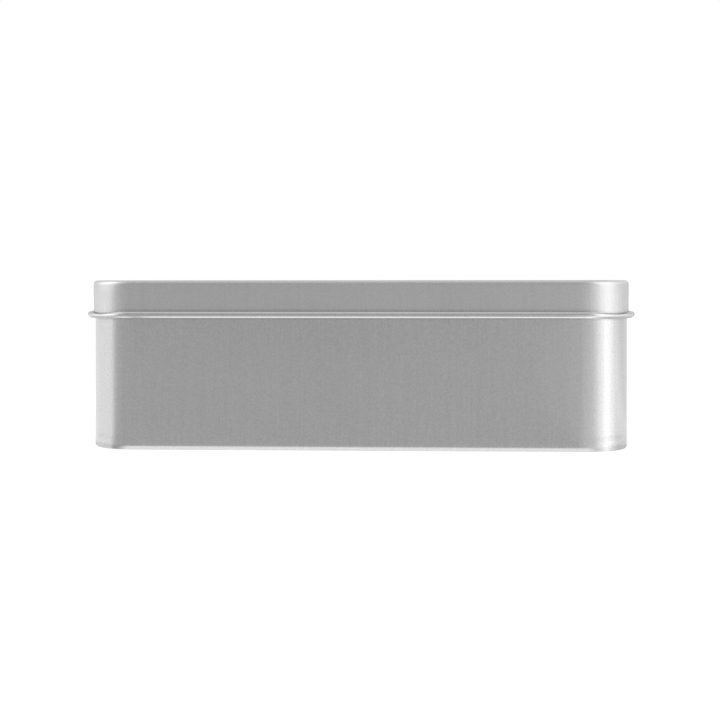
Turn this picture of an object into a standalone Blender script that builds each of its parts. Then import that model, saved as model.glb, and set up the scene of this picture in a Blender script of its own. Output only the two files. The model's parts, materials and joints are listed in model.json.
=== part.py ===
"""Drawn rectangular tin box with a shallow hinged lid.

Metres, +Z up. The origin is on the surface the tin stands on, in the middle of its outline.
The long side runs along X, the front faces -Y and the hinge is at the back, at +Y.
"""
import math

import bmesh
import bpy
from mathutils import Vector

MM = 0.001

# The sheet that body and lid are drawn from
SHEET = 0.22 * MM

# Body
BODY_LENGTH = 132.0 * MM
BODY_DEPTH = 92.0 * MM
CORNER_RADIUS = 12.0 * MM
BASE_RADIUS = 1.1 * MM
FOOT_WIDTH = 4.0 * MM
PANEL_RISE = 0.6 * MM
PANEL_SLOPE = 0.8 * MM
RIM_HEIGHT = 40.9 * MM
RIM_RADIUS = 0.7 * MM
LEAD_IN = 0.15 * MM
LEAD_IN_HEIGHT = 4.4 * MM

# Lid
HEIGHT = 41.4 * MM
LID_GAP = 0.25 * MM
TOP_RADIUS = 1.0 * MM
CURL_RADIUS = 0.84 * MM
CURL_HEIGHT = 33.0 * MM
CURL_END = 115.0

# Hinge
STRAP_SHEET = 0.20 * MM
STRAP_WIDTH = 12.0 * MM
STRAP_SPACING = 76.0 * MM
STRAP_LENGTH = 8.0 * MM
STRAP_STAND_OFF = 0.25 * MM
STRAP_JOG_TOP = 1.3 * MM
STRAP_JOG_BOTTOM = 2.2 * MM
EYE_END = -110.0
WIRE_RADIUS = 0.3 * MM
WIRE_LENGTH = 104.0 * MM
WIRE_CLEARANCE = 0.03 * MM
SLOT_CLEARANCE = 0.3 * MM
SLOT_RISE = 0.05 * MM

# How finely the round stretches are divided
CORNER_STEPS = 8
EDGE_STEPS = 3
CURL_STEP = 22.5
RIM_STEP = 30.0
EYE_STEP = 22.5

# Worked out from the above
HINGE_Y = BODY_DEPTH / 2 + LID_GAP + CURL_RADIUS
HINGE_AXIS = Vector((0, HINGE_Y, CURL_HEIGHT))

TIN_COLOUR = (0.63, 0.63, 0.625, 1)
STEEL_COLOUR = (0.50, 0.50, 0.50, 1)


def clear_scene():
    for thing in list(bpy.data.objects):
        bpy.data.objects.remove(thing, do_unlink=True)


def new_collection(name):
    collection = bpy.data.collections.new(name)
    bpy.context.scene.collection.children.link(collection)
    return collection


def metal(name, colour, roughness):
    material = bpy.data.materials.new(name)
    material.use_nodes = True
    shader = material.node_tree.nodes["Principled BSDF"]
    shader.inputs["Base Color"].default_value = colour
    shader.inputs["Metallic"].default_value = 1.0
    shader.inputs["Roughness"].default_value = roughness
    return material


def mesh_object(bm, name, collection, origin=Vector((0, 0, 0))):
    """Turns world-space geometry into an object whose origin is at the given point."""
    bmesh.ops.translate(bm, vec=-origin, verts=bm.verts)
    mesh = bpy.data.meshes.new(name)
    bm.to_mesh(mesh)
    bm.free()
    thing = bpy.data.objects.new(name, mesh)
    thing.location = origin
    collection.objects.link(thing)
    return thing


def give_sheet(thing, thickness, material):
    """Thickens an open surface on its back side and shades it as formed metal."""
    solidify = thing.modifiers.new("sheet", "SOLIDIFY")
    solidify.thickness = thickness
    solidify.offset = -1.0
    solidify.use_even_offset = True
    solidify.use_quality_normals = True
    thing.data.materials.append(material)
    thing.data.shade_smooth()
    thing.data.set_sharp_from_angle(angle=math.radians(40))


def arc(centre, radius, start, end, step):
    """Points of an arc in a section plane, angles in degrees, both ends included."""
    count = max(1, round(abs(end - start) / step))
    angles = [math.radians(start + (end - start) * k / count) for k in range(count + 1)]
    return [(centre[0] + radius * math.cos(a), centre[1] + radius * math.sin(a)) for a in angles]


def outline_rays():
    """Corner centre and outward direction for each point of the rounded rectangle."""
    rays = []
    for corner in range(4):
        middle = math.radians(45 + 90 * corner)
        centre = Vector((math.copysign(BODY_LENGTH / 2 - CORNER_RADIUS, math.cos(middle)),
                         math.copysign(BODY_DEPTH / 2 - CORNER_RADIUS, math.sin(middle)), 0))
        for k in range(CORNER_STEPS + 1):
            a = math.radians(90 * (corner + k / CORNER_STEPS))
            rays.append((centre, Vector((math.cos(a), math.sin(a), 0))))
    return rays


def drawn_surface(section):
    """Draws a flat rounded panel out through a section of (offset, height) points.

    An offset is measured outwards from the body's outer wall.
    """
    bm = bmesh.new()
    rays = outline_rays()
    index = bm.verts.layers.int.new("index")

    def place(vert, offset, height):
        centre, ray = rays[vert[index]]
        vert.co = centre + ray * (CORNER_RADIUS + offset) + Vector((0, 0, height))

    ring = [bm.verts.new() for _ in rays]
    for k, vert in enumerate(ring):
        vert[index] = k
        place(vert, *section[0])
    edges = bm.faces.new(ring).edges[:]
    for offset, height in section[1:]:
        drawn = bmesh.ops.extrude_edge_only(bm, edges=edges)["geom"]
        for vert in (item for item in drawn if isinstance(item, bmesh.types.BMVert)):
            place(vert, offset, height)
        edges = [item for item in drawn if isinstance(item, bmesh.types.BMEdge) and item.is_boundary]
    bmesh.ops.recalc_face_normals(bm, faces=bm.faces)
    return bm


def face_panel(bm, direction):
    """Turns all faces over if the panel, which has the most corners, doesn't face this way."""
    bm.faces.ensure_lookup_table()
    panel = max(bm.faces, key=lambda face: len(face.verts))
    if panel.normal.z * direction < 0:
        bmesh.ops.reverse_faces(bm, faces=bm.faces)


def body_shell(collection, material):
    """Recessed base panel, foot ring, wall, lead-in under the lid and inward curled rim."""
    foot_inner = -BASE_RADIUS - FOOT_WIDTH
    rim_centre = (-LEAD_IN - RIM_RADIUS, RIM_HEIGHT - RIM_RADIUS)
    section = [(foot_inner - PANEL_SLOPE, PANEL_RISE), (foot_inner, 0)]
    section += arc((-BASE_RADIUS, BASE_RADIUS), BASE_RADIUS, -90, 0, 90 / EDGE_STEPS)
    section += [(0, RIM_HEIGHT - LEAD_IN_HEIGHT)]
    section += arc(rim_centre, RIM_RADIUS, 0, 300, RIM_STEP)
    bm = drawn_surface(section)
    face_panel(bm, -1)
    shell = mesh_object(bm, "body_shell", collection)
    give_sheet(shell, SHEET, material)


def lid_shell(collection, cutters, material):
    """Flat panel, rounded edge, skirt, outward curl, and the two hinge slots in the curl."""
    wall = LID_GAP + SHEET
    section = arc((wall - TOP_RADIUS, HEIGHT - TOP_RADIUS), TOP_RADIUS, 90, 0, 90 / EDGE_STEPS)
    section += arc((LID_GAP + CURL_RADIUS, CURL_HEIGHT), CURL_RADIUS - SHEET,
                   180, 360 + CURL_END, CURL_STEP)
    bm = drawn_surface(section)
    face_panel(bm, 1)
    lid = mesh_object(bm, "lid_shell", collection, HINGE_AXIS)
    give_sheet(lid, SHEET, material)
    for side in (-1, 1):
        cut = lid.modifiers.new("hinge slot", "BOOLEAN")
        cut.operation = "DIFFERENCE"
        cut.solver = "EXACT"
        cut.object = slot_cutter(side, cutters)


def slot_cutter(side, cutters):
    """A block that takes away the lower half of the back curl where a strap comes out."""
    reach = 1.5 * CURL_RADIUS
    bpy.ops.mesh.primitive_cube_add(size=1)
    block = bpy.context.active_object
    block.name = "slot_cutter_left" if side < 0 else "slot_cutter_right"
    block.data.transform(block.matrix_world)
    for vert in block.data.vertices:
        vert.co.x *= STRAP_WIDTH + 2 * SLOT_CLEARANCE
        vert.co.y *= 2 * reach
        vert.co.z = (vert.co.z - 0.5) * reach
    block.location = HINGE_AXIS + Vector((side * STRAP_SPACING / 2, 0, SLOT_RISE))
    for owner in list(block.users_collection):
        owner.objects.unlink(block)
    cutters.objects.link(block)
    block.hide_render = True
    block.display_type = "WIRE"
    return block


def hinge_strap(name, side, collection, material):
    """Flat leg down the back wall, a small jog outwards, and an eye round the wire."""
    outer = WIRE_RADIUS + WIRE_CLEARANCE + STRAP_SHEET
    leg = BODY_DEPTH / 2 + STRAP_STAND_OFF - HINGE_Y
    section = [(leg, -STRAP_LENGTH), (leg, -STRAP_JOG_BOTTOM), (-outer, -STRAP_JOG_TOP)]
    section += arc((0, 0), outer, 180, EYE_END, EYE_STEP)
    bm = bmesh.new()
    start = HINGE_AXIS + Vector(((side * STRAP_SPACING - STRAP_WIDTH) / 2, 0, 0))
    line = [bm.verts.new(start + Vector((0, y, z))) for y, z in section]
    edges = [bm.edges.new(pair) for pair in zip(line, line[1:])]
    drawn = bmesh.ops.extrude_edge_only(bm, edges=edges)["geom"]
    far_side = [item for item in drawn if isinstance(item, bmesh.types.BMVert)]
    bmesh.ops.translate(bm, vec=(STRAP_WIDTH, 0, 0), verts=far_side)
    bmesh.ops.recalc_face_normals(bm, faces=bm.faces)
    bm.faces.ensure_lookup_table()
    leg_face = min(bm.faces, key=lambda face: face.calc_center_median().z)
    if leg_face.normal.y > 0:
        bmesh.ops.reverse_faces(bm, faces=bm.faces)
    give_sheet(mesh_object(bm, name, collection, HINGE_AXIS), STRAP_SHEET, material)


def hinge_wire(collection, material):
    """The straight steel wire through both eyes, inside the lid's back curl."""
    curve = bpy.data.curves.new("hinge_wire", "CURVE")
    curve.dimensions = "3D"
    curve.bevel_depth = WIRE_RADIUS
    curve.bevel_resolution = 2
    curve.use_fill_caps = True
    spline = curve.splines.new("POLY")
    spline.points.add(1)
    for point, x in zip(spline.points, (-WIRE_LENGTH / 2, WIRE_LENGTH / 2)):
        point.co = (x, 0, 0, 1)
    curve.materials.append(material)
    wire = bpy.data.objects.new("hinge_wire", curve)
    wire.location = HINGE_AXIS
    collection.objects.link(wire)


def main():
    clear_scene()
    parts = new_collection("spice_tin")
    cutters = new_collection("cutters")
    body_shell(parts, metal("body_tinplate", TIN_COLOUR, 0.38))
    lid_shell(parts, cutters, metal("lid_tinplate", TIN_COLOUR, 0.38))
    hinge_wire(parts, metal("wire_steel", STEEL_COLOUR, 0.30))
    hinge_strap("hinge_strap_left", -1, parts, metal("strap_left_tinplate", TIN_COLOUR, 0.36))
    hinge_strap("hinge_strap_right", 1, parts, metal("strap_right_tinplate", TIN_COLOUR, 0.36))


main()
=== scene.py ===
"""Looks of the hinged tin: fine meshes, satin tinplate, a plain white studio and the camera.

Metres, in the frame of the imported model: X along the tin, the front faces -Y, +Z up.
"""

import json
import math

import bmesh
import bpy
import numpy as np
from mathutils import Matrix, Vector


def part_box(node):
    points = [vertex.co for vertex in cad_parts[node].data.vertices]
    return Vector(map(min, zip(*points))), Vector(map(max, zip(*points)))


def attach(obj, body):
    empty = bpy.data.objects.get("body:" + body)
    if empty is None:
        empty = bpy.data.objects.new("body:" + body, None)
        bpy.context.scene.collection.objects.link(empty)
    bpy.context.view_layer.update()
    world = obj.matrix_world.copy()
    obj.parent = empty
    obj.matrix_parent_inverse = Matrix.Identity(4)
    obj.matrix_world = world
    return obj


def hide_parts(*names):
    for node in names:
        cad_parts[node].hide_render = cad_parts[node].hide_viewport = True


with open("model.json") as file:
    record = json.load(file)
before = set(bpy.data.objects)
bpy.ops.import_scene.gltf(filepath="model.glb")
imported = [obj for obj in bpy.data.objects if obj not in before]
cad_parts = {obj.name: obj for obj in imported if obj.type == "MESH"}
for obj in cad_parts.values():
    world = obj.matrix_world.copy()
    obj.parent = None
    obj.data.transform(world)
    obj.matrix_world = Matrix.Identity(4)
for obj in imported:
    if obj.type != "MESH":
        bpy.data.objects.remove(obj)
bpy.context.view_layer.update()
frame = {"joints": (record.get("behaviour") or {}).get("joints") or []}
MM = 0.001

# ---------------------------------------------------------------- sizes from the frame
BODY_LOW, BODY_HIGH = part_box("body_shell")
LID_LOW, LID_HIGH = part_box("lid_shell")
WIRE_LOW, WIRE_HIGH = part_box("hinge_wire")
HINGE = Vector(frame["joints"][0]["pos_m"])
HALF_X, HALF_Y = BODY_HIGH.x, BODY_HIGH.y
HEIGHT = LID_HIGH.z
RIM_HEIGHT = BODY_HIGH.z
CURL_RADIUS = HINGE.z - LID_LOW.z
LID_GAP = HINGE.y - CURL_RADIUS - HALF_Y

# ---------------------------------------------------------------- sizes of the formed sheet
SHEET = 0.22 * MM
CORNER_RADIUS = 12.0 * MM
BASE_RADIUS = 1.1 * MM
FOOT_WIDTH = 4.0 * MM
PANEL_RISE = 0.6 * MM
PANEL_SLOPE = 0.8 * MM
PANEL_BEND = 0.35 * MM
RIM_RADIUS = 0.7 * MM
LEAD_IN = 0.15 * MM
LEAD_IN_HEIGHT = 4.4 * MM
TOP_RADIUS = 1.0 * MM
CURL_END = 135.0
CURL_PINCH = 0.28 * MM
PINCH_POWER = 3
PRESS = 0.75
SIDE_PRESS = (-80.0, -12.0)
CORNER_PRESS = (-95.0, 30.0)
CURL_DIP = 0.12 * MM
BODY_BULGE = 0.15 * MM
BULGE_TOP = 4.4 * MM
TOP_LEAN = 1.0
CORNER_LEAN = 5.0
LEAN_DEPTH = 2.5 * MM

STRAP_SHEET = 0.20 * MM
STRAP_EYE = 0.33 * MM + STRAP_SHEET
STRAP_JOG_TOP = 1.3 * MM
STRAP_JOG_BOTTOM = 2.2 * MM
STRAP_FOOT_GAP = 0.02 * MM
STRAP_CORNER = 1.6 * MM
EYE_END = -110.0
SLOT_CLEARANCE = 0.3 * MM
SLOT_RISE = 0.05 * MM

WELD_RADIUS = 1.1 * MM
WELD_DEPTH = 0.07 * MM
WIRE_NOSE = 0.3
BODY_CROWN = 0.15 * MM
LID_HOLLOW = 0.12 * MM

# ---------------------------------------------------------------- fineness of the meshes
CORNER_STEPS = 36
SIDE_STEPS = 24
PANEL_RINGS = 14
PANEL_CORE = 0.05
LEG_STEPS = 20
JOG_STEPS = 10
EYE_STEPS = 39
STRAP_COLUMNS = 49
WIRE_SIDES = 24
WIRE_STEPS = 60
SHARP_ANGLE = 40.0

# ---------------------------------------------------------------- finish
BODY_GREY = 0.72
BODY_ROUGHNESS = 0.20
LID_GREY = 0.72
LID_ROUGHNESS = 0.33
STRAP_GREY = 0.68
STRAP_ROUGHNESS = 0.30
WIRE_GREY = 0.55
WIRE_ROUGHNESS = 0.25
WIRE_GRAIN = 0.4

# Cells per metre along X, Y and Z, then how far each moves the tone and the roughness
MOTTLE_CELLS = (2600, 2600, 2600)
MOTTLE_TONE = 0.045
MOTTLE_ROUGHNESS = 0.020
MARK_CELLS = (2200, 2200, 45)
MARK_TONE = 0.016
MARK_ROUGHNESS = 0.012
CLOUD_CELLS = (28, 28, 40)
CLOUD_TONE = 0.012
CLOUD_ROUGHNESS = 0.010
WEAR_FROM = 0.52
WEAR_TO = 0.60
WEAR_TONE = 0.02
WEAR_ROUGHNESS = -0.03
BUMP_STRENGTH = 0.35
BUMP_HEIGHT = 0.006 * MM
# Painted shade: the grey is darkened where an occlusion node finds surfaces close by, in nooks and
# under the lid's curl.
NOOK_SAMPLES = 16

NOOK_REACH = 0.85 * MM
NOOK_PAINTED_SHADE = -0.29
# Painted highlight on the lower edge of the lid's curl along the sides, turned into painted shade in
# the rounded corners.
LIP_WIDTH = 0.5 * MM
LIP_PAINTED_HIGHLIGHT = 0.19
LIP_SHADE_AT_CORNERS = -1.15
# Painted highlight: the grey of the lid's whole curl is raised; ROLLED_SMOOTHING lowers its
# roughness.
ROLLED_PAINTED_HIGHLIGHT = 0.06
ROLLED_SMOOTHING = -0.16
ROLLED_AT_CORNERS = 0.35
BAND_EDGE = 0.12 * MM
# Painted shade in the crease where the lid's wall meets the curl, far stronger in the rounded
# corners.
CREASE_WIDTH = 0.35 * MM
CREASE_PAINTED_SHADE = -0.03
CREASE_AT_CORNERS = 8.0

# ---------------------------------------------------------------- studio and camera
LOW_RING = [(-180, 0.58), (-162, 0.62), (-142, 0.95), (-110, 0.95), (-73, 0.96), (-57, 0.52),
            (-40, 0.47), (1, 0.455), (5.5, 0.60), (24, 0.66), (35, 0.76), (49, 1.09), (68, 1.52),
            (82, 1.23), (98, 0.92), (116, 0.80), (146, 0.82), (164, 0.60), (180, 0.58)]
HIGH_RING = [(-180, 0.96), (-125, 1.05), (-105, 2.10), (-75, 2.10), (-52, 0.75), (-30, 0.50),
             (15, 0.52), (35, 0.80), (52, 2.00), (80, 2.00), (100, 1.35), (130, 1.12),
             (180, 0.96)]
LOW_RING_TOP = -1.0
HIGH_RING_FOOT = 16.0
WALL_TOP = 40.0
CEILING_FOOT = 68.0
CEILING_GREY = 0.86
FLOOR_GREY = 0.6
FLOOR_GLOW = 0.70
FLOOR_REACH = 6.0
FLOOR_CARD_LIFT = 0.1 * MM
FOOT_INSET = 0.6 * MM
FLOOR_DIM_FROM = 0.3 * MM
FLOOR_DIM_TO = 8.0 * MM
FLOOR_NEAR_GREY = 1.0
FRONT_FROM = 28.0
FRONT_TO = 8.0
TURN_POWER = 1.5
FOOT_SHADE = 0.82
FOOT_SHADE_FROM = 1.0 * MM
FOOT_SHADE_TO = 9.0 * MM

SENSOR = 36.0
LENS = 87.72
HORIZON_SHIFT = -0.104
CAMERA_DISTANCE = 0.470
CAMERA_HEIGHT = 0.0402
CAMERA_SIDE = -0.0019
CAMERA_YAW = 3.6
CAMERA_ROLL = 0.02


# ---------------------------------------------------------------- sections
def arc(centre, radius, start, end, steps, face=1):
    """Section points (offset, height, normal) along an arc, angles in degrees.

    face is 1 where the visible face is the outside of the arc and -1 where it is the inside.
    """
    angles = np.radians(np.linspace(start, end, steps + 1))
    return [(centre[0] + radius * math.cos(a), centre[1] + radius * math.sin(a),
             face * math.cos(a), face * math.sin(a)) for a in angles]


def straight(offset, low, high, steps):
    """Section points up or down a wall whose face looks outwards, without its two ends."""
    heights = np.linspace(low, high, steps + 1)[1:-1]
    return [(offset, z, 1.0, 0.0) for z in heights]


def sheet_section(face):
    """Closes a section of the visible face into a sheet with a rounded raw edge."""
    rear = [(x - SHEET * nx, z - SHEET * nz) for x, z, nx, nz in face]
    (ax, az, _, _), (x, z, nx, nz) = face[-2:]
    onward = Vector((x - ax, z - az))
    normal = Vector((nx, nz))
    onward = (onward - normal * onward.dot(normal)).normalized()
    middle = Vector((x, z)) - normal * SHEET / 2
    edge = [middle + SHEET / 2 * (normal * math.cos(a) + onward * math.sin(a))
            for a in np.radians([30, 60, 90, 120, 150])]
    return [(p[0], p[1]) for p in face] + [tuple(p) for p in edge] + rear[::-1]


def bulged(section, height, low, high):
    """Swells a section outwards by height, most of all halfway between low and high."""
    moved = []
    for x, z, nx, nz in section:
        share = min(max((z - low) / (high - low), 0), 1)
        swell = height * math.sin(math.pi * share) ** 2
        slope = height * math.pi / (high - low) * math.sin(math.tau * share)
        size = math.hypot(nx, nz - slope * nx)
        moved.append((x + swell, z, nx / size, (nz - slope * nx) / size))
    return moved


def leant(point, foot, lean):
    """Leans a wall point inwards, the more the higher it is above the foot."""
    x, z, nx, nz = point
    share = (z - foot) / (HEIGHT - foot)
    tilt = lean * share
    return (x - math.tan(lean) * (z - foot) * share / 2, z,
            nx * math.cos(tilt) - nz * math.sin(tilt), nz * math.cos(tilt) + nx * math.sin(tilt))


def body_section(corner):
    """Recessed panel, step, foot ring, base edge, wall, lead-in and the rim curled inwards."""
    foot = -BASE_RADIUS - FOOT_WIDTH
    tilt = math.degrees(math.atan2(PANEL_RISE, PANEL_SLOPE))
    top_bend = (foot - PANEL_SLOPE - PANEL_BEND / 2, PANEL_RISE - PANEL_BEND)
    low_bend = (foot + PANEL_BEND / 2, PANEL_BEND)
    rim = (-LEAD_IN - RIM_RADIUS, RIM_HEIGHT - RIM_RADIUS)
    face = arc(top_bend, PANEL_BEND, 90, 90 - tilt, 5, face=-1)
    face += arc(low_bend, PANEL_BEND, -90 - tilt, -90, 5)
    wall = arc((-BASE_RADIUS, BASE_RADIUS), BASE_RADIUS, -90, 0, 12)
    wall += straight(0, BASE_RADIUS, BULGE_TOP, 12)
    face += bulged(wall, BODY_BULGE * corner ** 2, 0, BULGE_TOP)
    face += straight(0, BULGE_TOP - 0.1 * MM, RIM_HEIGHT - LEAD_IN_HEIGHT, 14)
    face += [(0, RIM_HEIGHT - LEAD_IN_HEIGHT, 1.0, 0.0)]
    face += arc(rim, RIM_RADIUS, 0, 300, 32)
    return sheet_section(face)


def pressed(roll, centre, radius, corner):
    """Flattens part of the lower outer quarter of the roll towards a straight flank."""
    tight = corner ** PINCH_POWER
    low, nose = np.radians(np.array(SIDE_PRESS) * (1 - tight) + np.array(CORNER_PRESS) * tight)
    ends = [np.array([centre[0] + radius * math.cos(a), centre[1] + radius * math.sin(a)])
            for a in (low, nose)]
    facing = np.array([math.cos((low + nose) / 2), math.sin((low + nose) / 2)])
    moved = []
    for x, z, nx, nz in roll:
        turn = math.atan2(-nz, -nx)
        if low < turn < nose:
            along = (turn - low) / (nose - low)
            amount = PRESS * math.sin(math.pi * along) ** 0.5
            point = np.array([x, z]) * (1 - amount)
            point += (ends[0] + (ends[1] - ends[0]) * along) * amount
            normal = np.array([nx, nz]) * (1 - amount) - facing * amount
            normal /= np.linalg.norm(normal)
            moved.append((*point, *normal))
        else:
            moved.append((x, z, nx, nz))
    return moved


def lid_section(corner):
    """Panel edge, wall, and the outward curl, tighter and a little lower round the corners."""
    wall = LID_GAP + SHEET
    radius = CURL_RADIUS - CURL_PINCH * corner ** PINCH_POWER
    centre = (LID_GAP + radius, LID_LOW.z + radius - CURL_DIP * corner ** 2)
    lean = math.radians(TOP_LEAN + (CORNER_LEAN - TOP_LEAN) * corner ** 2)
    shoulder = TOP_RADIUS + LEAN_DEPTH
    face = arc((wall - TOP_RADIUS, HEIGHT - TOP_RADIUS), TOP_RADIUS, 90, 0, 12)
    face += straight(wall, HEIGHT - TOP_RADIUS, HEIGHT - shoulder, 8)
    face += [(wall, HEIGHT - shoulder, 1.0, 0.0)]
    face = [leant(point, HEIGHT - shoulder, lean) for point in face]
    face += straight(wall, HEIGHT - shoulder, centre[1], 8)
    roll = arc(centre, radius - SHEET, 180, 360 + CURL_END, 50, face=-1)
    face += pressed(roll, centre, radius - SHEET, corner)
    return sheet_section(face)


# ---------------------------------------------------------------- meshes
def outline():
    """Centre, outward direction and corner share (0 on the sides, 1 in mid-corner)."""
    corners = []
    for corner in range(4):
        middle = math.radians(45 + 90 * corner)
        corners.append(np.array([math.copysign(HALF_X - CORNER_RADIUS, math.cos(middle)),
                                 math.copysign(HALF_Y - CORNER_RADIUS, math.sin(middle))]))
    rays = []
    for corner, centre in enumerate(corners):
        for k in range(CORNER_STEPS + 1):
            a = math.radians(90 * (corner + k / CORNER_STEPS))
            share = math.sin(math.pi * k / CORNER_STEPS)
            rays.append((centre, np.array([math.cos(a), math.sin(a)]), share))
        facing = rays[-1][1]
        onward = corners[(corner + 1) % 4] - centre
        rays += [(centre + onward * k / SIDE_STEPS, facing, 0.0) for k in range(1, SIDE_STEPS)]
    return rays


def drawn_mesh(name, section_at, lift):
    """Sweeps a closed sheet section round the outline and fills both faces of the panel.

    lift(x, y) is how far the panel stands above its edge.
    """
    rows = []
    for centre, ray, share in outline():
        section = np.array(section_at(share))
        flat = centre + np.outer(CORNER_RADIUS + section[:, 0], ray)
        rows.append(np.column_stack([flat, section[:, 1]]))
    count, width = len(rows), len(rows[0])
    verts = [tuple(point) for row in rows for point in row]
    faces = []
    for i in range(count):
        j = (i + 1) % count
        faces += [(i * width + k, j * width + k, j * width + k + 1, i * width + k + 1)
                  for k in range(width - 1)]
    for end in (0, width - 1):
        edge = [i * width + end for i in range(count)]
        ring = edge
        for step in range(1, PANEL_RINGS + 1):
            share = 1 - (1 - PANEL_CORE) * step / PANEL_RINGS
            inner = range(len(verts), len(verts) + count)
            for i in edge:
                x, y, z = verts[i]
                verts.append((x * share, y * share, z + lift(x * share, y * share)))
            faces += [(ring[i], ring[i - 1], inner[i - 1], inner[i]) for i in range(count)]
            ring = inner
        faces.append(tuple(ring))
    mesh = bpy.data.meshes.new(name)
    mesh.from_pydata(verts, [], faces)
    return mesh


def finished(mesh, name):
    """Makes a smooth-shaded object of a closed mesh, with its faces pointing out."""
    bm = bmesh.new()
    bm.from_mesh(mesh)
    bmesh.ops.recalc_face_normals(bm, faces=bm.faces)
    bm.to_mesh(mesh)
    bm.free()
    mesh.shade_smooth()
    mesh.set_sharp_from_angle(angle=math.radians(SHARP_ANGLE))
    piece = bpy.data.objects.new(name, mesh)
    bpy.context.scene.collection.objects.link(piece)
    return piece


def panel_crown(height):
    """An even crown over the whole panel, nothing at its edge; a negative height hollows it."""
    def lift(x, y):
        return height * (1 - (x / HALF_X) ** 2) * (1 - (y / HALF_Y) ** 2)
    return lift


def cut_slots(lid, centres, width):
    """Takes away the lower half of the back curl where each strap comes out."""
    reach = 1.5 * CURL_RADIUS
    for x in centres:
        bm = bmesh.new()
        bmesh.ops.create_cube(bm, size=1)
        for vert in bm.verts:
            vert.co.x = x + vert.co.x * width
            vert.co.y = HINGE.y + vert.co.y * 2 * reach
            vert.co.z = HINGE.z + SLOT_RISE + (vert.co.z - 0.5) * reach
        mesh = bpy.data.meshes.new("slot")
        bm.to_mesh(mesh)
        bm.free()
        block = bpy.data.objects.new("slot", mesh)
        bpy.context.scene.collection.objects.link(block)
        cut = lid.modifiers.new("slot", "BOOLEAN")
        cut.operation = "DIFFERENCE"
        cut.solver = "EXACT"
        cut.object = block
        bake_modifiers(lid)
        bpy.data.objects.remove(block)
        bpy.data.meshes.remove(mesh)


def bake_modifiers(piece):
    """Replaces the piece's mesh by what its modifiers make of it."""
    shape = piece.evaluated_get(bpy.context.evaluated_depsgraph_get())
    mesh = bpy.data.meshes.new_from_object(shape)
    piece.modifiers.clear()
    old, piece.data = piece.data, mesh
    bpy.data.meshes.remove(old)


def strap_path(leg, bottom):
    """Outer line of a strap, (y, z) from the hinge axis, and how much of each point is leg end."""
    points = []
    for t in np.linspace(0, 1, LEG_STEPS + 1):
        points.append((leg, bottom + (-STRAP_JOG_BOTTOM - bottom) * t, 1 - t))
    for t in np.linspace(0, 1, JOG_STEPS + 1)[1:-1]:
        ease = t * t * (3 - 2 * t)
        points.append((leg + (-STRAP_EYE - leg) * ease,
                       -STRAP_JOG_BOTTOM + (STRAP_JOG_BOTTOM - STRAP_JOG_TOP) * t, 0.0))
    points.append((-STRAP_EYE, -STRAP_JOG_TOP, 0.0))
    for a in np.radians(np.linspace(180, EYE_END, EYE_STEPS + 1)):
        points.append((STRAP_EYE * math.cos(a), STRAP_EYE * math.sin(a), 0.0))
    return points


def strap_mesh(node):
    """Leg on the back wall, jog outwards and an eye round the wire, with two spot welds."""
    low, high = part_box(node)
    middle, half = (high.x + low.x) / 2, (high.x - low.x) / 2
    path = strap_path(HALF_Y + STRAP_FOOT_GAP - HINGE.y, low.z - HINGE.z)
    line = [Vector(p[:2]) for p in path]
    across = np.linspace(-half, half, STRAP_COLUMNS)
    weld_z = -(STRAP_JOG_BOTTOM + HINGE.z - low.z) / 2
    verts = []
    for front in (0, 1):
        for i, (y, z, end) in enumerate(path):
            run = line[min(i + 1, len(line) - 1)] - line[max(i - 1, 0)]
            inwards = Vector((run.y, -run.x)).normalized() * STRAP_SHEET * front
            for x in across:
                inset = max(STRAP_CORNER - (half - abs(x)), 0)
                lift = STRAP_CORNER - math.sqrt(STRAP_CORNER ** 2 - inset ** 2)
                dent = 0.0
                for side in (-1, 1):
                    away = math.hypot(x - side * half / 2, z - weld_z) / WELD_RADIUS
                    dent += WELD_DEPTH * front * max(1 - away * away, 0) ** 2
                verts.append((middle + x, HINGE.y + y + inwards.x - dent,
                              HINGE.z + z + inwards.y + lift * end))
    rows, columns = len(path), len(across)

    def at(front, i, k):
        return (front * rows + i) * columns + k

    faces = []
    for i in range(rows - 1):
        for k in range(columns - 1):
            for front in (0, 1):
                faces.append((at(front, i, k), at(front, i, k + 1),
                              at(front, i + 1, k + 1), at(front, i + 1, k)))
        for k in (0, columns - 1):
            faces.append((at(0, i, k), at(1, i, k), at(1, i + 1, k), at(0, i + 1, k)))
    for i in (0, rows - 1):
        for k in range(columns - 1):
            faces.append((at(0, i, k), at(0, i, k + 1), at(1, i, k + 1), at(1, i, k)))
    mesh = bpy.data.meshes.new(node)
    mesh.from_pydata(verts, [], faces)
    return mesh


def wire_mesh():
    """Round wire with slightly rounded ends."""
    radius = (WIRE_HIGH.z - WIRE_LOW.z) / 2
    nose = WIRE_NOSE * radius
    length = WIRE_HIGH.x - WIRE_LOW.x
    stations = [(WIRE_LOW.x + nose * (1 - math.sin(t)), radius - nose * (1 - math.cos(t)))
                for t in np.radians([90, 60, 30, 0])]
    stations += [(WIRE_LOW.x + length * k / WIRE_STEPS, radius) for k in range(1, WIRE_STEPS)]
    stations += [(WIRE_HIGH.x + WIRE_LOW.x - x, r) for x, r in stations[3::-1]]
    bm = bmesh.new()
    loops = []
    for x, r in stations:
        loops.append([bm.verts.new((x, HINGE.y + r * math.cos(a), HINGE.z + r * math.sin(a)))
                      for a in np.radians(np.arange(0, 360, 360 / WIRE_SIDES))])
    for near, far in zip(loops, loops[1:]):
        for k in range(WIRE_SIDES):
            bm.faces.new((near[k - 1], near[k], far[k], far[k - 1]))
    bm.faces.new(loops[0])
    bm.faces.new(loops[-1])
    mesh = bpy.data.meshes.new("hinge_wire")
    bm.to_mesh(mesh)
    bm.free()
    return mesh


# ---------------------------------------------------------------- materials
def add(tree, kind, **values):
    """Adds a shader node and sets its properties and, by name, its input sockets."""
    node = tree.nodes.new(kind)
    for key, value in values.items():
        name = key.replace("_", " ")
        if name in node.inputs:
            node.inputs[name].default_value = value
        else:
            setattr(node, key, value)
    return node


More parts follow.
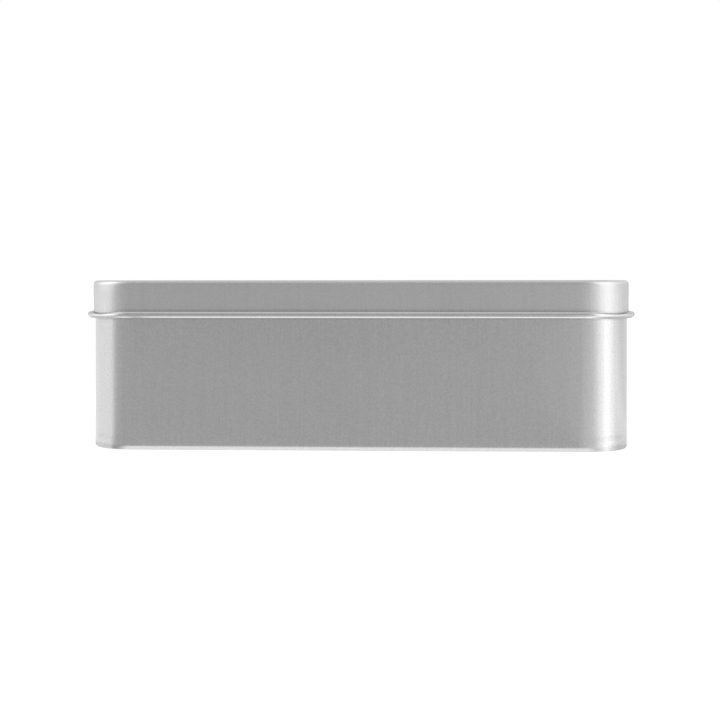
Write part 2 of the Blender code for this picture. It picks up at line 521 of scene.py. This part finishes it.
def noise(tree, coordinates, cells):
    """Noise with about this many cells to the metre along each axis."""
    mapping = add(tree, "ShaderNodeMapping", Scale=cells)
    tree.links.new(coordinates, mapping.inputs["Vector"])
    node = add(tree, "ShaderNodeTexNoise", Scale=1.0, Detail=2.0, Roughness=0.6)
    tree.links.new(mapping.outputs["Vector"], node.inputs["Vector"])
    return node.outputs["Fac"]


def swing(tree, value, reach):
    """Maps noise, which lies mostly between 0.3 and 0.7, to the range -reach to reach."""
    node = add(tree, "ShaderNodeMapRange")
    node.inputs["From Min"].default_value = 0.3
    node.inputs["From Max"].default_value = 0.7
    node.inputs["To Min"].default_value = -reach
    node.inputs["To Max"].default_value = reach
    tree.links.new(value, node.inputs["Value"])
    return node.outputs["Result"]


def combine(tree, first, second, operation="ADD"):
    """Puts two values, each a number or a socket, through a math operation."""
    node = add(tree, "ShaderNodeMath", operation=operation)
    for socket, value in zip(node.inputs, (first, second)):
        if isinstance(value, float):
            socket.default_value = value
        else:
            tree.links.new(value, socket)
    return node.outputs["Value"]


def corner_share(tree, split):
    """0 beside the straight sides and 1 well into the rounded corners."""
    shares = []
    for axis, half in (("X", HALF_X), ("Y", HALF_Y)):
        core = half - CORNER_RADIUS
        distance = combine(tree, split.outputs[axis], 0.0, "ABSOLUTE")
        shares.append(step_up(tree, distance, core, core + CORNER_RADIUS / 2))
    return combine(tree, *shares, "MULTIPLY")


def sheet_metal(name, grey, roughness, grain=1.0, bands=()):
    """Satin tinplate: fine mottled grain, faint draw marks up the walls, slightly brighter and
    smoother worn edges.

    Each of bands is (low, high, change, smoothing, at_corners), a stretch of height where the
    grey and the roughness change by that much, times at_corners in the rounded corners; the grey
    changes are painted highlight and painted shade. Nooks get painted shade from an occlusion node.
    """
    material = bpy.data.materials.new(name)
    material.use_nodes = True
    tree = material.node_tree
    shader = tree.nodes["Principled BSDF"]
    shader.inputs["Metallic"].default_value = 1.0
    position = add(tree, "ShaderNodeTexCoord").outputs["Object"]

    mottle = noise(tree, position, MOTTLE_CELLS)
    marks = noise(tree, position, MARK_CELLS)
    cloud = noise(tree, position, CLOUD_CELLS)
    edge = add(tree, "ShaderNodeNewGeometry").outputs["Pointiness"]
    wear = step_up(tree, edge, WEAR_FROM, WEAR_TO)
    nook = add(tree, "ShaderNodeAmbientOcclusion", samples=NOOK_SAMPLES, Distance=NOOK_REACH)
    split = add(tree, "ShaderNodeSeparateXYZ")
    tree.links.new(position, split.inputs["Vector"])
    height = split.outputs["Z"]
    raised = step_up(tree, height, BASE_RADIUS, 2 * BASE_RADIUS)
    # Painted shade in nooks from the occlusion node, none at the base edge.
    painted_nook_shade = combine(tree, combine(tree, 1.0, nook.outputs["AO"], "SUBTRACT"), raised, "MULTIPLY")

    rough = combine(tree, swing(tree, mottle, MOTTLE_ROUGHNESS * grain), roughness)
    rough = combine(tree, rough, swing(tree, marks, MARK_ROUGHNESS * grain))
    rough = combine(tree, rough, swing(tree, cloud, CLOUD_ROUGHNESS))
    rough = combine(tree, rough, combine(tree, wear, WEAR_ROUGHNESS, "MULTIPLY"))

    tone = combine(tree, swing(tree, mottle, MOTTLE_TONE * grain), grey)
    tone = combine(tree, tone, swing(tree, marks, MARK_TONE * grain))
    tone = combine(tree, tone, swing(tree, cloud, CLOUD_TONE))
    tone = combine(tree, tone, combine(tree, wear, WEAR_TONE, "MULTIPLY"))
    tone = combine(tree, tone, combine(tree, painted_nook_shade, NOOK_PAINTED_SHADE, "MULTIPLY"))
    # The grey changes of these bands are painted highlight and painted shade.
    for low, high, change, smoothing, at_corners in bands:
        above = step_up(tree, height, low - BAND_EDGE, low + BAND_EDGE)
        over = step_up(tree, height, high - BAND_EDGE, high + BAND_EDGE)
        below = combine(tree, 1.0, over, "SUBTRACT")
        kept = blend(tree, corner_share(tree, split), 1.0, at_corners)
        within = combine(tree, combine(tree, above, below, "MULTIPLY"), kept, "MULTIPLY")
        tone = combine(tree, tone, combine(tree, within, change, "MULTIPLY"))
        rough = combine(tree, rough, combine(tree, within, smoothing, "MULTIPLY"))
    tree.links.new(rough, shader.inputs["Roughness"])
    colour = add(tree, "ShaderNodeCombineColor")
    for socket in colour.inputs[:3]:
        tree.links.new(tone, socket)
    tree.links.new(colour.outputs["Color"], shader.inputs["Base Color"])

    relief = combine(tree, mottle, combine(tree, marks, 0.5, "MULTIPLY"))
    bump = add(tree, "ShaderNodeBump", Strength=BUMP_STRENGTH * grain, Distance=BUMP_HEIGHT)
    tree.links.new(relief, bump.inputs["Height"])
    tree.links.new(bump.outputs["Normal"], shader.inputs["Normal"])
    return material


def floor_paint():
    """Matt white, with a little light of its own like a lit acrylic table."""
    material = bpy.data.materials.new("floor_white")
    material.use_nodes = True
    tree = material.node_tree
    shader = tree.nodes["Principled BSDF"]
    shader.inputs["Base Color"].default_value = (FLOOR_GREY, FLOOR_GREY, FLOOR_GREY, 1)
    shader.inputs["Roughness"].default_value = 0.9
    shader.inputs["Specular IOR Level"].default_value = 0.0
    shader.inputs["Emission Color"].default_value = (1, 1, 1, 1)
    shader.inputs["Emission Strength"].default_value = FLOOR_GLOW
    return material


# ---------------------------------------------------------------- studio
def ramp(tree, value, stops):
    """A grey gradient over value from 0 to 1; the greys are given at half strength."""
    node = add(tree, "ShaderNodeValToRGB")
    node.color_ramp.interpolation = "EASE"
    elements = node.color_ramp.elements
    while len(elements) < len(stops):
        elements.new(0.5)
    for element, (position, grey) in zip(elements, stops):
        element.position = position
    for element, (position, grey) in zip(elements, stops):
        element.color = (grey / 2, grey / 2, grey / 2, 1)
    tree.links.new(value, node.inputs["Fac"])
    return combine(tree, node.outputs["Color"], 2.0, "MULTIPLY")


def ring_grey(tree, azimuth, stops):
    """The grey that the stops, at angles from the front in degrees, give for an azimuth."""
    turn = combine(tree, combine(tree, azimuth, math.tau, "DIVIDE"), 0.5)
    return ramp(tree, turn, [((angle + 180) / 360, grey) for angle, grey in stops])


def room_ring(tree, direction, stops):
    """Brightness of the room round the tin, by the side of the tin that it is on."""
    split = add(tree, "ShaderNodeSeparateXYZ")
    tree.links.new(direction, split.inputs["Vector"])
    towards_viewer = combine(tree, split.outputs["Y"], -1.0, "MULTIPLY")
    return ring_grey(tree, combine(tree, split.outputs["X"], towards_viewer, "ARCTAN2"), stops)


def step_up(tree, value, low, high):
    """Goes smoothly from 0 at low to 1 at high."""
    node = add(tree, "ShaderNodeMapRange", clamp=True, interpolation_type="SMOOTHSTEP")
    node.inputs["From Min"].default_value = low
    node.inputs["From Max"].default_value = high
    tree.links.new(value, node.inputs["Value"])
    return node.outputs["Result"]


def blend(tree, share, first, second):
    """The first value where share is 0, the second where it is 1."""
    kept = combine(tree, combine(tree, 1.0, share, "SUBTRACT"), first, "MULTIPLY")
    return combine(tree, kept, combine(tree, share, second, "MULTIPLY"))


def studio():
    """Grey in front and behind, tall soft boxes at both ends and a pale ceiling."""
    world = bpy.data.worlds.new("studio")
    world.use_nodes = True
    bpy.context.scene.world = world
    tree = world.node_tree
    direction = add(tree, "ShaderNodeTexCoord").outputs["Generated"]
    split = add(tree, "ShaderNodeSeparateXYZ")
    tree.links.new(direction, split.inputs["Vector"])
    z = split.outputs["Z"]

    def climb(low, high):
        return step_up(tree, z, math.sin(math.radians(low)), math.sin(math.radians(high)))

    walls = blend(tree, climb(LOW_RING_TOP, HIGH_RING_FOOT),
                  room_ring(tree, direction, LOW_RING), room_ring(tree, direction, HIGH_RING))
    seen = blend(tree, climb(WALL_TOP, CEILING_FOOT), walls, CEILING_GREY)
    lit = add(tree, "ShaderNodeBackground")
    tree.links.new(seen, lit.inputs["Strength"])
    plain = add(tree, "ShaderNodeBackground", Strength=1.0, Color=(1, 1, 1, 1))
    which = add(tree, "ShaderNodeMixShader")
    tree.links.new(add(tree, "ShaderNodeLightPath").outputs["Is Camera Ray"], which.inputs["Fac"])
    tree.links.new(lit.outputs["Background"], which.inputs[1])
    tree.links.new(plain.outputs["Background"], which.inputs[2])
    tree.links.new(which.outputs["Shader"], tree.nodes["World Output"].inputs["Surface"])


def stage_mesh(name, bm, material):
    mesh = bpy.data.meshes.new(name)
    bm.to_mesh(mesh)
    bm.free()
    mesh.materials.append(material)
    stand = bpy.data.objects.new(name, mesh)
    bpy.context.scene.collection.objects.link(stand)
    return stand


def floor():
    bm = bmesh.new()
    bmesh.ops.create_grid(bm, x_segments=1, y_segments=1, size=FLOOR_REACH)
    stage_mesh("floor", bm, floor_paint())


def reflected_floor():
    """Seen only in reflections: like the room, but white along the front and dark at the foot.

    A point near a rounded corner is seen from a wall that faces half as far round, so the turn
    of the room is doubled at the tin's foot and eases to its true value further out.
    """
    material = bpy.data.materials.new("room_below")
    material.use_nodes = True
    tree = material.node_tree
    shader = tree.nodes["Principled BSDF"]
    shader.inputs["Base Color"].default_value = (0, 0, 0, 1)
    shader.inputs["Specular IOR Level"].default_value = 0.0
    shader.inputs["Emission Color"].default_value = (1, 1, 1, 1)
    position = add(tree, "ShaderNodeTexCoord").outputs["Object"]
    split = add(tree, "ShaderNodeSeparateXYZ")
    tree.links.new(position, split.inputs["Vector"])
    out = []
    for axis, half in (("X", HALF_X), ("Y", HALF_Y)):
        core = half - CORNER_RADIUS
        inside = combine(tree, combine(tree, split.outputs[axis], -core, "MAXIMUM"), core, "MINIMUM")
        out.append(combine(tree, split.outputs[axis], inside, "SUBTRACT"))
    squares = [combine(tree, value, value, "MULTIPLY") for value in out]
    reach = combine(tree, combine(tree, *squares), 0.5, "POWER")
    away = combine(tree, reach, CORNER_RADIUS, "SUBTRACT")
    azimuth = combine(tree, out[0], combine(tree, out[1], -1.0, "MULTIPLY"), "ARCTAN2")
    extra = combine(tree, combine(tree, CORNER_RADIUS, reach, "DIVIDE"), TURN_POWER, "POWER")
    turned = combine(tree, azimuth, combine(tree, extra, 1.0), "MULTIPLY")
    turned = combine(tree, combine(tree, turned, math.pi, "MINIMUM"), -math.pi, "MAXIMUM")
    room = ring_grey(tree, turned, LOW_RING)

    facing = combine(tree, combine(tree, azimuth, 0.0, "ABSOLUTE"), -1.0, "MULTIPLY")
    front = step_up(tree, facing, -math.radians(FRONT_FROM), -math.radians(FRONT_TO))
    near = combine(tree, 1.0, step_up(tree, away, FLOOR_DIM_FROM, FLOOR_DIM_TO), "SUBTRACT")
    lit = blend(tree, combine(tree, near, front, "MULTIPLY"), room, FLOOR_NEAR_GREY)
    open_floor = step_up(tree, away, FOOT_SHADE_FROM, FOOT_SHADE_TO)
    shade = combine(tree, open_floor, 1.0 - FOOT_SHADE, "MULTIPLY")
    shaded = combine(tree, lit, combine(tree, shade, FOOT_SHADE), "MULTIPLY")
    glow = blend(tree, front, shaded, lit)
    tree.links.new(glow, shader.inputs["Emission Strength"])

    bm = bmesh.new()
    inner = [bm.verts.new((*(centre + ray * (CORNER_RADIUS - FOOT_INSET)), FLOOR_CARD_LIFT))
             for centre, ray, share in outline()]
    outer = [bm.verts.new((*(Vector(vert.co.xy).normalized() * FLOOR_REACH), FLOOR_CARD_LIFT))
             for vert in inner]
    for k in range(len(inner)):
        bm.faces.new((inner[k - 1], inner[k], outer[k], outer[k - 1]))
    card = stage_mesh("floor_reflection", bm, material)
    card.visible_camera = False
    card.visible_diffuse = False
    card.visible_shadow = False
    card.visible_transmission = False


def camera():
    data = bpy.data.cameras.new("camera")
    data.lens = LENS
    data.sensor_width = SENSOR
    data.shift_y = HORIZON_SHIFT
    data.clip_end = 100
    eye = bpy.data.objects.new("camera", data)
    yaw = math.radians(CAMERA_YAW)
    eye.location = (CAMERA_SIDE * math.cos(yaw) + CAMERA_DISTANCE * math.sin(yaw),
                    CAMERA_SIDE * math.sin(yaw) - CAMERA_DISTANCE * math.cos(yaw), CAMERA_HEIGHT)
    eye.rotation_euler = (math.radians(90), math.radians(CAMERA_ROLL), yaw)
    bpy.context.scene.collection.objects.link(eye)
    bpy.context.scene.camera = eye


# ---------------------------------------------------------------- the tin
def place(mesh, node, body, material):
    """Stands a fine piece in for a CAD node, on that node's body."""
    piece = finished(mesh, node + "_fine")
    piece.data.materials.clear()
    piece.data.materials.append(material)
    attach(piece, body)
    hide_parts(node)
    return piece


def build_tin():
    curl_top = LID_LOW.z + 2 * CURL_RADIUS
    # Painted highlight over the whole curl, with lower roughness there.
    rolled_highlight = (LID_LOW.z - 4 * CURL_DIP, curl_top, ROLLED_PAINTED_HIGHLIGHT, ROLLED_SMOOTHING,
              ROLLED_AT_CORNERS)
    # Painted highlight on the curl's lower edge, and painted shade there in the corners.
    painted_lip = (LID_LOW.z - 4 * CURL_DIP, LID_LOW.z + LIP_WIDTH, LIP_PAINTED_HIGHLIGHT, 0.0, LIP_SHADE_AT_CORNERS)
    # Painted shade in the crease above the curl, mostly in the corners.
    corner_top = curl_top - 2 * CURL_PINCH - CURL_DIP
    crease_shade = (corner_top, corner_top + CREASE_WIDTH, CREASE_PAINTED_SHADE, 0.0, CREASE_AT_CORNERS)
    body = sheet_metal("body_satin", BODY_GREY, BODY_ROUGHNESS)
    lid = sheet_metal("lid_satin", LID_GREY, LID_ROUGHNESS, bands=(rolled_highlight, painted_lip, crease_shade))
    strap = sheet_metal("strap_satin", STRAP_GREY, STRAP_ROUGHNESS)
    steel = sheet_metal("wire_bright", WIRE_GREY, WIRE_ROUGHNESS, WIRE_GRAIN)
    place(drawn_mesh("body", body_section, panel_crown(BODY_CROWN)),
          "body_shell", "body", body)
    shell = place(drawn_mesh("lid", lid_section, panel_crown(-LID_HOLLOW)),
                  "lid_shell", "lid", lid)
    straps = ["hinge_strap_left", "hinge_strap_right"]
    boxes = [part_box(node) for node in straps]
    cut_slots(shell, [(low.x + high.x) / 2 for low, high in boxes],
              boxes[0][1].x - boxes[0][0].x + 2 * SLOT_CLEARANCE)
    for node in straps:
        place(strap_mesh(node), node, "body", strap)
    place(wire_mesh(), "hinge_wire", "body", steel)


bpy.context.scene.view_settings.view_transform = "Standard"
build_tin()
floor()
reflected_floor()
studio()
camera()
